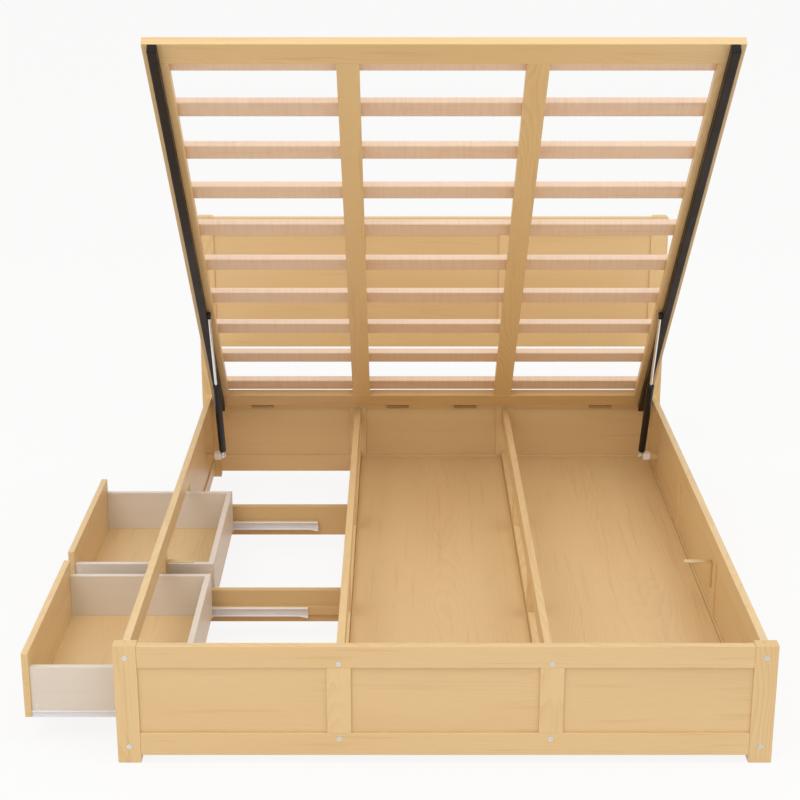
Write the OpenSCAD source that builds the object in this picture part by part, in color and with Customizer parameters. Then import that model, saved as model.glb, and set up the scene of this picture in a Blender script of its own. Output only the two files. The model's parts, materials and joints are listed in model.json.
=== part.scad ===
// Tatami platform bed with a gas-lifted slatted platform and two side drawers.
// X runs across the bed, Y from the footboard to the headboard, Z up from the floor.
// The bed is drawn with its platform raised and both drawers pulled out.

/* [Bed box] */
// Width over the corner posts
bed_w = 1628; // [1300:1:2000]
// Clear length between the foot frame and the head frame
clear_len = 2002; // [1900:1:2200]
// Gap between the floor and the lowest boards
floor_gap = 22; // [10:1:40]
// How far the side boards stand in from the posts' outer faces
side_inset = 17; // [5:1:30]
// Thickness of the side, divider and cross boards
board_t = 20; // [16:1:26]
// Thickness of the rails and stiles in the foot and head frames
end_board_t = 22; // [18:1:28]
// Height of the upper rails of the box
rail_h = 58; // [45:1:70]
// Height of the lower rails of the foot, head and right-hand frames
low_rail_h = 61; // [45:1:75]
// Width of the upright stiles
stile_w = 60; // [40:1:80]
// Thickness of the framed panels
panel_t = 10; // [6:1:12]
// How deep the panels sit in the rails' grooves
groove_d = 6; // [3:1:10]

/* [Posts] */
// Width of a corner post
post_w = 58; // [45:1:70]
// Depth of a corner post
post_d = 34; // [28:1:45]
// Height of the foot posts
foot_post_h = 322; // [300:1:360]
// Height of the head posts
head_post_h = 954; // [850:1:1100]
// Corner radius at the top of the head posts
head_post_r = 9; // [3:1:15]
// Foot and head rails below the top of the foot posts
end_rail_drop = 2; // [0:1:6]
// Side rails below the top of the foot posts
side_rail_drop = 10; // [4:1:14]

/* [Headboard] */
// Height of the headboard's lower edge
headboard_low = 489; // [420:1:560]
// Headboard rails below the top of the head posts
headboard_drop = 2; // [0:1:10]

/* [Dividers and floor] */
// Distance of each divider's centre line from the bed's centre line
divider_x = 262; // [200:1:320]
// Height of the top edge of the dividers
divider_top = 262; // [255:1:270]
// Height of a divider's upper rail
divider_rail_h = 62; // [45:1:75]
// Height of a divider's lower rail
divider_low_h = 78; // [65:1:90]
// Distance between the two stiles of a divider or of the right-hand wall
stile_pitch = 650; // [560:1:720]
// Height of the floor panels' top face
floor_top = 76; // [66:1:80]
// Thickness of the floor panels
floor_t = 9; // [5:1:12]
// Side of the square cleats under the floor panels
cleat_s = 20; // [15:1:25]
// Width of the upright cleats behind the foot stiles
end_cleat_w = 40; // [30:1:50]
// Thickness of the upright cleats behind the foot stiles
end_cleat_t = 12; // [8:1:12]
// Height of the upright cleats' tops
end_cleat_top = 300; // [285:1:310]

/* [Left wall] */
// Length of each drawer opening
opening_len = 592; // [500:1:640]
// Width of the stile beside the foot post
foot_stile_w = 62; // [50:1:80]
// Width of the stile between the drawer openings
centre_stile_w = 56; // [45:1:70]
// Height of the rail under the drawers
sill_h = 50; // [40:1:60]

/* [Platform] */
// How far the platform is lifted from flat, in degrees
lift_angle = 46.25; // [30:0.25:50]
// Gap beside the closed platform
lift_side_gap = 5; // [3:1:10]
// Gap between the closed platform and the foot posts
lift_foot_gap = 3; // [2:1:10]
// Gap between the closed platform and the head frame
lift_head_gap = 31; // [25:1:45]
// Height that the closed platform keeps above the dividers
lift_rest_gap = 0.3; // [0.2:0.1:1]
// Thickness of the platform frame
lift_t = 24; // [18:1:30]
// Width of the platform's side rails
lift_side_w = 61; // [60:1:80]
// Width of the platform's middle rails
lift_mid_w = 60; // [45:1:75]
// Distance of each middle rail from the bed's centre line
lift_mid_x = 247; // [200:1:300]
// Width of the platform's foot rail
lift_foot_w = 78; // [60:1:90]
// Width of the platform's head rail
lift_head_w = 72; // [60:1:90]
// Number of slats
slat_count = 10; // [7:1:13]
// Width of a slat
slat_w = 60; // [40:0.5:70]
// Thickness of a slat
slat_t = 20.5; // [12:0.5:22]
// Foot edge of the platform to the first slat
slat_first = 76; // [20:0.5:120]
// Last slat to the head edge of the platform
slat_last = 75; // [20:1:120]
// How far the slat ends stay inside the platform's sides
slat_end_gap = 25; // [10:1:50]

/* [Steel bars and hinges] */
// Width of a square steel bar
bar_w = 25; // [20:1:30]
// Height of a square steel bar
bar_h = 25; // [20:1:30]
// Wall of a steel bar
bar_wall = 1.5; // [1:0.1:2.5]
// Thickness of the caps that close a bar's ends
bar_cap_t = 3; // [2:0.5:6]
// Inner face of a bar, measured in from the platform's side
bar_in = 41; // [32:1:45]
// Hinge pin in front of the head frame
hinge_out = 8; // [7:0.5:10]
// Hinge pin above the closed platform's underside
hinge_up = 7.7; // [6:0.1:10]
// Length of a hinge
hinge_len = 80; // [50:1:110]
// Radius of a hinge knuckle
knuckle_r = 6; // [5:0.1:6.5]
// Radius of a hinge pin
hinge_pin_r = 2.5; // [1.5:0.1:3]
// Thickness of a hinge leaf
leaf_t = 2.5; // [1.5:0.1:3]
// Height of the fixed hinge leaves
leaf_h = 40; // [30:1:45]
// Distance of the outer hinges from the bed's centre line
hinge_x_outer = 600; // [500:1:660]
// Distance of the inner hinges from the bed's centre line
hinge_x_inner = 120; // [70:1:180]

/* [Gas struts] */
// Centre plane of a strut, measured in from the platform's side
strut_in = 47; // [44:0.5:55]
// Lower pivot to the head frame
strut_foot_back = 204; // [150:1:260]
// Height of the lower pivot
strut_foot_z = 155.5; // [130:0.5:170]
// Upper pivot to the platform's head edge
strut_eye_back = 647; // [560:1:700]
// Upper pivot below the platform's underside
strut_eye_drop = 14; // [9:0.5:18]
// Radius of the gas cylinder
gas_r = 12; // [9:0.5:13]
// Wall of the gas cylinder
gas_wall = 1.5; // [1:0.1:2]
// Lower pivot to the top of the gas cylinder
gas_len = 335; // [300:1:380]
// Radius of the piston rod
rod_r = 4.5; // [3.5:0.1:5]
// How deep the piston stays in the cylinder when the strut is out
piston_in = 60; // [30:1:80]
// Radius of the strut pins
strut_pin_r = 4; // [3:0.1:4.5]
// Thickness of the strut eyes
strut_eye_t = 10; // [9.5:0.5:10.5]
// Length of a mounting block along the bed
block_l = 30; // [24:1:32]
// Height of a mounting block
block_h = 22; // [18:1:26]
// Thickness of the pad between a mounting block and the side panel
pad_t = 27; // [20:1:35]
// How far the pad's edges stand back from the block's
pad_inset = 3; // [1:0.5:5]

/* [Support brackets] */
// Reach of a bracket from the wall
bracket_reach = 80; // [60:1:95]
// Height of a bracket on the wall
bracket_drop = 80; // [50:1:85]
// Width of the bracket strip
bracket_w = 20; // [14:1:26]
// Thickness of the bracket strip
bracket_t = 3; // [2:0.5:5]

/* [Drawers] */
// How far the drawers are pulled out
drawer_travel = 265; // [200:1:280]
// Gap round a drawer front
drawer_gap = 2; // [1:0.5:4]
// Thickness of a drawer front
front_t = 18; // [15:1:20]
// Drawer front's end to the side of its box
front_lap = 5; // [3:0.5:8]
// Depth of the drawer box behind the front
box_depth = 397; // [380:1:397]
// Thickness of the drawer box walls
box_wall = 16; // [10:1:18]
// Height of the underside of the drawer walls
box_low = 90; // [88:1:96]
// Height of the drawer walls
box_h = 122; // [90:1:135]
// Thickness of the drawer bottom
box_bottom_t = 5; // [3:0.5:6]

/* [Drawer slides] */
// Length of a fixed channel
channel_len = 400; // [390:1:410]
// Depth of a fixed channel
channel_d = 11.5; // [10:0.1:12]
// Height of a fixed channel
channel_h = 24; // [23:0.5:30]
// Height of the fixed channel's lower edge
channel_low = 78; // [76:0.5:78]
// Sheet thickness of the slides
slide_t = 1.2; // [0.8:0.1:1.5]
// Room for a slide between its packer and the drawer box
slide_room = 14; // [13.5:0.1:16]
// Width of the flange that rolls on the fixed roller
runner_flange = 5.2; // [4:0.1:5.4]
// Length of the runner web below the drawer walls
runner_drop = 18; // [12:0.5:20]
// Width of the drawer rollers
drawer_roller_w = 6.8; // [5:0.1:8]
// Radius of the fixed rollers
fixed_roller_r = 5; // [4:0.1:5.2]
// Radius of the drawer rollers
drawer_roller_r = 10; // [8:0.1:10.2]
// Height of the cross boards that carry the slides
cross_h = 98; // [80:1:110]
// Height of the cross boards' lower edge
cross_low = 52; // [30:1:54]

/* [Fasteners] */
// Radius of the bolt heads
bolt_head_r = 6.5; // [5:0.1:8]
// Thickness of the bolt heads
bolt_head_t = 3; // [2:0.1:4]
// How far the bolt heads stand proud
bolt_proud = 0.8; // [0.2:0.1:1.5]
// Radius of the bolt shanks
bolt_r = 3; // [2.5:0.1:4]
// How far a bolt runs past the middle of its barrel nut
bolt_tip = 8; // [5:1:12]
// Height of the upper post bolts
post_bolt_high = 289; // [280:1:295]
// Height of the lower post bolts
post_bolt_low = 46; // [38:1:56]
// Height of the bolts through the foot top rail
foot_bolt_high = 273; // [270:1:275]
// Height of the bolts through the foot bottom rail
foot_bolt_low = 67; // [40:1:68]
// Height of the bolts through the head frame's stiles
divider_bolt_z = 240; // [225:1:245]
// Radius of the barrel nuts
barrel_r = 4.5; // [4:0.1:5]
// Foot post's outer face to the barrel nuts
foot_barrel_y = 72; // [60:1:90]
// Head frame to the barrel nuts in the side rails
side_barrel_back = 49; // [35:1:70]
// Head frame to the barrel nuts in the dividers
divider_barrel_back = 39; // [30:1:60]
// Radius of the screw heads
screw_head_r = 4.2; // [3:0.1:5]
// Radius of the screw shanks
screw_r = 2; // [1.5:0.1:2.5]
// Length of the screws in the side rails and dividers
long_screw_len = 80; // [70:1:100]
// Length of the screws in the foot top rail
short_screw_len = 38; // [25:1:40]
// Centre stile's edge to the side rail screw above it
stile_screw_in = 21; // [10:1:40]
// Filler panel's edge to the side rail screw above it
filler_screw_in = 141; // [50:1:400]
// Clearance round bolts, barrel nuts and screws in their holes
hole_gap = 0.25; // [0.1:0.05:0.5]

/* [Hidden] */
$fn = 48;

// Colours
pine = "#dfc08a";
pine_dark = "#cda56c";
beech = "#e3c6a4";
greige = "#cdbda6";
black_steel = "#3a3430";
zinc = "#c8c6c4";
silver = "#d5d3d2";
brass = "#c9a765";

// Across the bed
post_out = bed_w / 2;
post_in = post_out - post_w;
post_x = post_out - post_w / 2;
side_out = post_out - side_inset;
side_in = side_out - board_t;
side_x = (side_out + side_in) / 2;
side_panel_in = side_x - panel_t / 2;
divider_in = divider_x - board_t / 2;
divider_out = divider_x + board_t / 2;

// Along the bed
head_y = end_board_t + clear_len;
end_panel_y = (end_board_t - panel_t) / 2;
divider_y = end_board_t + end_cleat_t;
mid_y = end_board_t + clear_len / 2;
floor_edge_gap = 1;
cleat_end = 30;
stile_ys = [mid_y - stile_pitch / 2, mid_y + stile_pitch / 2];
centre_stile_y = post_d + foot_stile_w + opening_len;
opening_ys = [post_d + foot_stile_w, centre_stile_y + centre_stile_w];
filler_y = opening_ys[1] + opening_len;

// Up the bed
end_top = foot_post_h - end_rail_drop;
side_top = foot_post_h - side_rail_drop;
low_top = floor_gap + low_rail_h;
sill_top = floor_gap + sill_h;
headboard_top = head_post_h - headboard_drop;

// Closed platform
lift_low = divider_top + lift_rest_gap;
lift_out = side_in - lift_side_gap;
lift_foot_y = max(post_d, divider_y) + lift_foot_gap;
lift_head_y = head_y - lift_head_gap;
lift_len = lift_head_y - lift_foot_y;
slat_pitch = (lift_len - slat_first - slat_last - slat_w) / (slat_count - 1);
bar_x = lift_out - bar_in;
hinge_y = head_y - hinge_out;
hinge_z = lift_low + hinge_up;
hinge_gap = 0.6;
hinge_run_gap = 0.08;
knuckle_len = (hinge_len - 2 * hinge_gap) / 3;
hinge_xs = [-hinge_x_outer, -hinge_x_inner, hinge_x_inner, hinge_x_outer];
pin_head_t = 2;

// Gas struts, from the lower pivot to the eye on the raised platform
strut_x = lift_out - strut_in;
strut_foot = [head_y - strut_foot_back, strut_foot_z];
strut_eye = raised([lift_head_y - strut_eye_back, lift_low - strut_eye_drop]);
strut_dir = strut_eye - strut_foot;
strut_len = norm(strut_dir);
strut_rise = atan2(strut_dir[1], -strut_dir[0]);
strut_run_gap = 0.08;
strut_side_gap = 0.6;
eye_wall = 4;
neck_r = strut_eye_t / 2 - 1;
neck_len = 15;
gas_foot = strut_pin_r + eye_wall + neck_len;
gas_base_len = 40;
gas_bore_foot = gas_foot + gas_base_len;
gland_len = 10;
piston_len = 12;
washer_t = 3;
block_out = side_panel_in - pad_t;

// Support brackets, under the closed platform's steel bars
bracket_top = lift_low - bar_h - lift_rest_gap;
bracket_y = centre_stile_y + centre_stile_w / 2;

// Drawers: closed, then pulled out along -X
box_ys = [for (y = opening_ys) y + drawer_gap + front_lap];
box_w = opening_len - 2 * (drawer_gap + front_lap);
box_front = -side_out + front_t;
box_back = box_front + box_depth;
cross_gap = (box_ys[1] - box_ys[0] - box_w - board_t) / 2;
cross_ys = [for (i = [0, 1]) box_ys[i] - cross_gap - board_t, box_ys[1] + box_w + cross_gap];
channel_top = channel_low + channel_h;
channel_front = -side_in + 2;
roller_gap = 0.3;
axle_r = 2;
axle_gap = 0.08;
fixed_roller_x = channel_front + 10;
fixed_roller_z = channel_low + slide_t + roller_gap + fixed_roller_r;
fixed_roller_w = channel_d - slide_t - 1;
runner_flange_z = fixed_roller_z + fixed_roller_r + roller_gap;
runner_lip = 14;
drawer_roller_x = box_back - drawer_roller_r - 3;
drawer_roller_z = channel_low + slide_t + roller_gap + drawer_roller_r;
flare_len = 26;
flare_drop = 6;

// Fasteners
post_bolt_z = [post_bolt_high, post_bolt_low];
foot_bolt_z = [foot_bolt_high, foot_bolt_low];
screw_head_t = 2;
side_screw_ys = [centre_stile_y + stile_screw_in, filler_y + filler_screw_in];
side_barrel_ys = [foot_barrel_y, head_y - side_barrel_back];
divider_barrel_y = head_y - divider_barrel_back;

// The bed's box is centred on the origin in plan, with the drawers out
origin_x = (post_out - side_out - drawer_travel) / 2;
origin_y = (head_y + post_d) / 2;

// Heights of the openings between rails, and of a board that fills one and its grooves
frame_open = [low_top, end_top - rail_h];
headboard_open = [headboard_low + rail_h, headboard_top - rail_h];
side_open = [low_top, side_top - rail_h];
drawer_open = [sill_top, side_top - rail_h];
function tongued(open) = [open[0] - groove_d, open[1] + groove_d];

// Where a point [y, z] of the closed platform goes when it is raised
function raised(p) = let(dy = p[0] - hinge_y, dz = p[1] - hinge_z)
    [hinge_y + dy * cos(lift_angle) + dz * sin(lift_angle),
        hinge_z - dy * sin(lift_angle) + dz * cos(lift_angle)];

module in_place() translate([-origin_x, -origin_y, 0]) children();

module board(x, y, z) translate([x[0], y[0], z[0]]) cube([x[1] - x[0], y[1] - y[0], z[1] - z[0]]);

module both_sides() {
    children();
    mirror([1, 0, 0]) children();
}

module lifted() translate([0, hinge_y, hinge_z]) rotate([-lift_angle, 0, 0])
    translate([0, -hinge_y, -hinge_z]) children();

// Places a fastener at every bolt, with its own +Z into the bed and $reach as the bolt's length
module at_bolts() both_sides() {
    for (z = post_bolt_z) {
        at_bolt([post_x, 0, z], 1, foot_barrel_y + bolt_tip) children();
        at_bolt([post_x, head_y + post_d, z], -1, post_d + side_barrel_back + bolt_tip) children();
    }
    for (z = foot_bolt_z) at_bolt([divider_x, 0, z], 1, divider_y - 2) children();
    at_bolt([divider_x, head_y + end_board_t, divider_bolt_z], -1,
        end_board_t + divider_barrel_back + bolt_tip) children();
}

module at_bolt(p, way, $reach) translate(p) rotate([-90 * way, 0, 0]) children();

module bolt() {
    translate([0, 0, -bolt_proud]) cylinder(h = bolt_head_t, r = bolt_head_r);
    cylinder(h = $reach, r = bolt_r);
}

module bolt_hole() {
    cylinder(h = $reach + 1, r = bolt_r + hole_gap);
    translate([0, 0, -bolt_proud - 1]) cylinder(h = bolt_head_t + 1, r = bolt_head_r + hole_gap);
}

// Barrel nuts: upright ones from the top of a rail, and lying ones from its inner face
module barrels(gap) both_sides() {
    for (y = side_barrel_ys) {
        upright_barrel(post_x, y, post_bolt_high, side_top, gap);
        translate([side_in - gap, y, post_bolt_low]) rotate([0, 90, 0])
            cylinder(h = post_x - side_in + barrel_r + 2 * gap, r = barrel_r + gap);
    }
    upright_barrel(divider_x, divider_barrel_y, divider_bolt_z, divider_top, gap);
}

module upright_barrel(x, y, bolt_z, top, gap) translate([x, y, bolt_z - 2 * barrel_r - gap])
    cylinder(h = top - bolt_z + 2 * barrel_r + 2 * gap, r = barrel_r + gap);

// Screws driven down into the rails, or their holes where gap is above 0
module screws(gap) both_sides() {
    for (y = side_screw_ys) screw([side_x, y, side_top], long_screw_len, gap);
    for (y = stile_ys) screw([divider_x, y, divider_top], long_screw_len, gap);
    screw([divider_x, end_board_t / 2, end_top], short_screw_len, gap);
}

module screw(p, len, gap) translate(p) {
    translate([0, 0, -screw_head_t]) cylinder(h = screw_head_t + gap, r = screw_head_r + gap);
    translate([0, 0, -len - gap]) cylinder(h = len, r = screw_r + gap);
}

// A piece with every hole that the fasteners need in it
module drilled() difference() {
    children();
    at_bolts() bolt_hole();
    barrels(hole_gap);
    screws(hole_gap);
}

// Foot frame
module foot_post(side) color(pine) drilled()
    board(side > 0 ? [post_in, post_out] : [-post_out, -post_in], [0, post_d], [0, foot_post_h]);

// A rail of an end frame whose front face is at y, grooved for panels along its lower or upper edge
module end_rail(y, z, groove_z) color(pine) drilled() difference() {
    board([-post_in, post_in], [y, y + end_board_t], z);
    board([-post_in - 1, post_in + 1], [y + end_panel_y, y + end_panel_y + panel_t], groove_z);
}

module lower_grooved(y, z) end_rail(y, z, [z[0] - 1, z[0] + groove_d]);
module upper_grooved(y, z) end_rail(y, z, [z[1] - groove_d, z[1] + 1]);

// The two stiles of an end frame, with a tongue at each end
module end_stiles(y, open) color(pine) drilled() both_sides() {
    x = [divider_x - stile_w / 2, divider_x + stile_w / 2];
    board(x, [y, y + end_board_t], open);
    board(x, [y + end_panel_y, y + end_panel_y + panel_t], tongued(open));
}

// The three panels of an end frame, held in the grooves of its rails
module end_panels(y, open) color(pine_dark) {
    inner = divider_x - stile_w / 2;
    outer = divider_x + stile_w / 2;
    for (x = [[-post_in, -outer], [-inner, inner], [outer, post_in]])
        board(x, [y + end_panel_y, y + end_panel_y + panel_t], tongued(open));
}

module foot_top_rail() lower_grooved(0, [end_top - rail_h, end_top]);
module foot_bottom_rail() upper_grooved(0, [floor_gap, low_top]);
module foot_stiles() end_stiles(0, frame_open);
module foot_panels() end_panels(0, frame_open);

// Head frame and headboard, between the two tall posts
module head_post(side) color(pine) drilled() {
    left = side > 0 ? post_in : -post_out;
    translate([left, head_y + post_d, 0]) rotate([90, 0, 0]) linear_extrude(post_d) {
        square([post_w, head_post_h - head_post_r]);
        translate([head_post_r, 0]) square([post_w - 2 * head_post_r, head_post_h]);
        for (x = [head_post_r, post_w - head_post_r])
            translate([x, head_post_h - head_post_r]) circle(head_post_r);
    }
}

module headboard_top_rail() lower_grooved(head_y, [headboard_top - rail_h, headboard_top]);
module headboard_bottom_rail() upper_grooved(head_y, [headboard_low, headboard_low + rail_h]);
module headboard_stiles() end_stiles(head_y, headboard_open);
module headboard_panels() end_panels(head_y, headboard_open);

module head_frame_top_rail() lower_grooved(head_y, [end_top - rail_h, end_top]);
module head_frame_bottom_rail() upper_grooved(head_y, [floor_gap, low_top]);
module head_frame_stiles() end_stiles(head_y, frame_open);
module head_frame_panels() end_panels(head_y, frame_open);

// Side walls, whose panels' inner and outer faces stand back from the rails
module side_rail(side, z, groove_y, groove_z) color(pine) drilled() mirror([side > 0 ? 0 : 1, 0, 0])
    difference() {
        board([side_in, side_out], [post_d, head_y], z);
        board([side_panel_in, side_panel_in + panel_t], groove_y, groove_z);
    }

module right_top_rail() side_rail(1, [side_top - rail_h, side_top], [post_d - 1, head_y + 1],
    [side_top - rail_h - 1, side_top - rail_h + groove_d]);

module right_bottom_rail() side_rail(1, [floor_gap, low_top], [post_d - 1, head_y + 1],
    [low_top - groove_d, low_top + 1]);

module right_stiles() color(pine) drilled() for (y = stile_ys) {
    board([side_in, side_out], [y - stile_w / 2, y + stile_w / 2], side_open);
    board([side_panel_in, side_panel_in + panel_t], [y - stile_w / 2, y + stile_w / 2], tongued(side_open));
}

module right_panels() color(pine_dark) drilled() {
    ends = [post_d, stile_ys[0] - stile_w / 2, stile_ys[0] + stile_w / 2, stile_ys[1] - stile_w / 2,
        stile_ys[1] + stile_w / 2, head_y];
    for (i = [0, 2, 4])
        board([side_panel_in, side_panel_in + panel_t], [ends[i], ends[i + 1]], tongued(side_open));
}

// Left-hand wall, open for the two drawers
module left_top_rail() side_rail(-1, [side_top - rail_h, side_top], [filler_y, head_y + 1],
    [side_top - rail_h - 1, side_top - rail_h + groove_d]);

module left_sill_rail() side_rail(-1, [floor_gap, sill_top], [filler_y, head_y + 1],
    [sill_top - groove_d, sill_top + 1]);

module left_stiles() color(pine) drilled() for (y = [[post_d, post_d + foot_stile_w],
        [centre_stile_y, centre_stile_y + centre_stile_w]])
    board([-side_out, -side_in], y, drawer_open);

module left_filler_panel() color(pine_dark) drilled() board([-side_panel_in - panel_t, -side_panel_in],
    [filler_y, head_y], tongued(drawer_open));

// Dividers: two rails with open bays between their stiles
module divider_top_rails() color(pine) drilled() both_sides() board([divider_in, divider_out],
    [divider_y, head_y], [divider_top - divider_rail_h, divider_top]);

module divider_bottom_rails() color(pine) both_sides() board([divider_in, divider_out],
    [divider_y, head_y], [floor_gap, floor_gap + divider_low_h]);

module divider_stiles() color(pine) drilled() both_sides() for (y = stile_ys)
    board([divider_in, divider_out], [y - stile_w / 2, y + stile_w / 2],
        [floor_gap + divider_low_h, divider_top - divider_rail_h]);

// Storage floor, the cleats under it and behind the foot stiles, and the pads behind the strut blocks
module floor_panels() color(pine_dark) for (x = [[-divider_in, divider_in], [divider_out, side_in]])
    board([x[0] + floor_edge_gap, x[1] - floor_edge_gap],
        [divider_y + floor_edge_gap, head_y - floor_edge_gap], [floor_top - floor_t, floor_top]);

module inner_cleats() color(pine) drilled() {
    for (x = [-divider_in, divider_in - cleat_s, divider_out, side_in - cleat_s])
        board([x, x + cleat_s], [divider_y + cleat_end, head_y - cleat_end],
            [floor_top - floor_t - cleat_s, floor_top - floor_t]);
    both_sides() board([divider_x - end_cleat_w / 2, divider_x + end_cleat_w / 2],
        [end_board_t, divider_y], [floor_gap, end_cleat_top]);
    both_sides() mount_block([block_out, side_panel_in], pad_inset);
}

// Boards across the drawer side, which carry the slides
module drawer_cross_boards() color(pine) for (y = cross_ys)
    board([-side_in, -divider_out], [y, y + board_t], [cross_low, cross_low + cross_h]);

// Runs a part drawn for a slide on a face looking along +Y to both sides of both drawers
module at_slides() for (y = box_ys) {
    translate([0, y, 0]) children();
    translate([0, y + box_w, 0]) mirror([0, 1, 0]) children();
}

module slide_packers() color(pine) {
    at_slides() board([channel_front, channel_front + channel_len], [-cross_gap, -slide_room],
        [channel_low, channel_top]);
    board([channel_front + channel_len, -divider_out],
        [cross_ys[1] - cross_gap + slide_room, cross_ys[1]], [channel_low, channel_top]);
}

module slide_channels() color(silver) at_slides() {
    back = -slide_room;
    board([channel_front, channel_front + channel_len], [back, back + slide_t], [channel_low, channel_top]);
    for (z = [channel_low, channel_top - slide_t]) board([channel_front, channel_front + channel_len],
        [back, back + channel_d], [z, z + slide_t]);
    translate([channel_front + channel_len, back + slide_t, channel_low]) rotate([90, 0, 0])
        linear_extrude(slide_t)
        polygon([[-flare_len, 0], [0, -flare_drop], [0, slide_t], [-flare_len, slide_t]]);
    translate([fixed_roller_x, back, fixed_roller_z]) rotate([-90, 0, 0])
        roller(slide_t, fixed_roller_w, fixed_roller_r);
}

// A roller on its axle, which stands up from the sheet it is riveted to
module roller(sheet, w, r) {
    cylinder(h = sheet + w + 1, r = axle_r);
    translate([0, 0, sheet + 0.5]) difference() {
        cylinder(h = w, r = r);
        translate([0, 0, -1]) cylinder(h = w + 2, r = axle_r + axle_gap);
    }
}

// Side brackets, under the middle of the platform's steel bars
module support_brackets() color(zinc) both_sides() {
    board([side_in - bracket_reach, side_in], [bracket_y - bracket_w / 2, bracket_y + bracket_w / 2],
        [bracket_top - bracket_t, bracket_top]);
    board([side_in - bracket_t, side_in], [bracket_y - bracket_w / 2, bracket_y + bracket_w / 2],
        [bracket_top - bracket_drop, bracket_top]);
}

// Blocks on the pads with the pins that the gas struts turn on
module mount_block(x, inset) {
    half_l = block_l / 2 - inset;
    half_h = block_h / 2 - inset;
    translate([0, strut_foot[0], strut_foot[1]]) board(x, [-half_l, half_l], [-half_h, half_h]);
}

module strut_mount_blocks() color(silver) both_sides() {
    eye_out = strut_x + strut_eye_t / 2 + strut_side_gap;
    eye_in = strut_x - strut_eye_t / 2 - strut_side_gap;
    mount_block([eye_out, block_out], 0);
    translate([0, strut_foot[0], strut_foot[1]]) {
        rod_along_x(eye_in - 1, eye_out + 1, strut_pin_r);
        rod_along_x(eye_in - washer_t, eye_in, strut_pin_r + 2);
    }
}

module rod_along_x(from, to, r) translate([from, 0, 0]) rotate([0, 90, 0]) cylinder(h = to - from, r = r);

// Butt hinges along the head rail: two fixed knuckles and a moving one between them
module at_hinge_pins() for (x = hinge_xs) translate([x, hinge_y, hinge_z]) children();

module hinge_bore() rod_along_x(-hinge_len, hinge_len, hinge_pin_r + hinge_run_gap);

module hinge_fixed_leaves() color(brass) at_hinge_pins() difference() {
    half = hinge_len / 2;
    union() {
        for (from = [-half, half - knuckle_len]) {
            rod_along_x(from, from + knuckle_len, knuckle_r);
            board([from, from + knuckle_len], [0, hinge_out], [-leaf_t / 2, leaf_t / 2]);
        }
        board([-half, half], [hinge_out - leaf_t, hinge_out], [-leaf_t, leaf_h]);
    }
    hinge_bore();
    board([-half + knuckle_len, half - knuckle_len], [0, knuckle_r + hinge_gap],
        [-2 * knuckle_r, 2 * knuckle_r]);
}

module hinge_pins() color(zinc) at_hinge_pins() {
    rod_along_x(-hinge_len / 2 - pin_head_t, hinge_len / 2, hinge_pin_r);
    rod_along_x(-hinge_len / 2 - pin_head_t, -hinge_len / 2, knuckle_r - 2);
}

module hinge_moving_leaves() color(brass) lifted() at_hinge_pins() difference() {
    rail_end = lift_head_y - hinge_y;
    union() {
        rod_along_x(-knuckle_len / 2, knuckle_len / 2, knuckle_r);
        board([-knuckle_len / 2, knuckle_len / 2], [rail_end, 0], [-leaf_t / 2, leaf_t / 2]);
        board([-hinge_len / 2, hinge_len / 2], [rail_end, rail_end + leaf_t],
            [1 - hinge_up, lift_t - hinge_up - 1]);
    }
    hinge_bore();
}

// Fasteners
module frame_bolts() color(zinc) at_bolts() bolt();

module barrel_nuts() color(zinc) difference() {
    barrels(0);
    at_bolts() bolt_hole();
}

module rail_screws() color(zinc) screws(0);

// Platform, drawn closed and then raised about the hinge pins
module lift_foot_rail() color(pine) lifted() board([-lift_out, lift_out],
    [lift_foot_y, lift_foot_y + lift_foot_w], [lift_low, lift_low + lift_t]);

module lift_head_rail() color(pine) lifted() board([-lift_out, lift_out],
    [lift_head_y - lift_head_w, lift_head_y], [lift_low, lift_low + lift_t]);

module lift_side_rails() color(pine) lifted() both_sides() board([lift_out - lift_side_w, lift_out],
    [lift_foot_y + lift_foot_w, lift_head_y - lift_head_w], [lift_low, lift_low + lift_t]);

module lift_mid_rails() color(pine) lifted() both_sides()
    board([lift_mid_x - lift_mid_w / 2, lift_mid_x + lift_mid_w / 2],
        [lift_foot_y + lift_foot_w, lift_head_y - lift_head_w], [lift_low, lift_low + lift_t]);

module slats() color(beech) lifted() for (i = [0:slat_count - 1]) {
    y = lift_foot_y + slat_first + i * slat_pitch;
    board([-lift_out + slat_end_gap, lift_out - slat_end_gap], [y, y + slat_w],
        [lift_low + lift_t, lift_low + lift_t + slat_t]);
}

module steel_bars() color(black_steel) lifted() both_sides() difference() {
    board([bar_x, bar_x + bar_w], [lift_foot_y, lift_head_y], [lift_low - bar_h, lift_low]);
    board([bar_x + bar_wall, bar_x + bar_w - bar_wall], [lift_foot_y + bar_cap_t, lift_head_y - bar_cap_t],
        [lift_low - bar_h + bar_wall, lift_low - bar_wall]);
}

// Gas struts: local -Y runs from the lower pivot to the eye
module strut(side) translate([side * strut_x, strut_foot[0], strut_foot[1]])
    rotate([-strut_rise, 0, 0]) children();

module along(from, to, r) translate([0, -from, 0]) rotate([90, 0, 0]) cylinder(h = to - from, r = r);

module gas_cylinder(side) color(black_steel) strut(side) difference() {
    union() {
        rod_along_x(-strut_eye_t / 2, strut_eye_t / 2, strut_pin_r + eye_wall);
        along(strut_pin_r + eye_wall / 2, gas_foot + 1, neck_r);
        along(gas_foot, gas_len, gas_r);
    }
    rod_along_x(-strut_eye_t, strut_eye_t, strut_pin_r + strut_run_gap);
    along(gas_bore_foot, gas_len - gland_len, gas_r - gas_wall);
    along(gas_len - gland_len - 1, gas_len + 1, rod_r + strut_run_gap);
}

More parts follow.
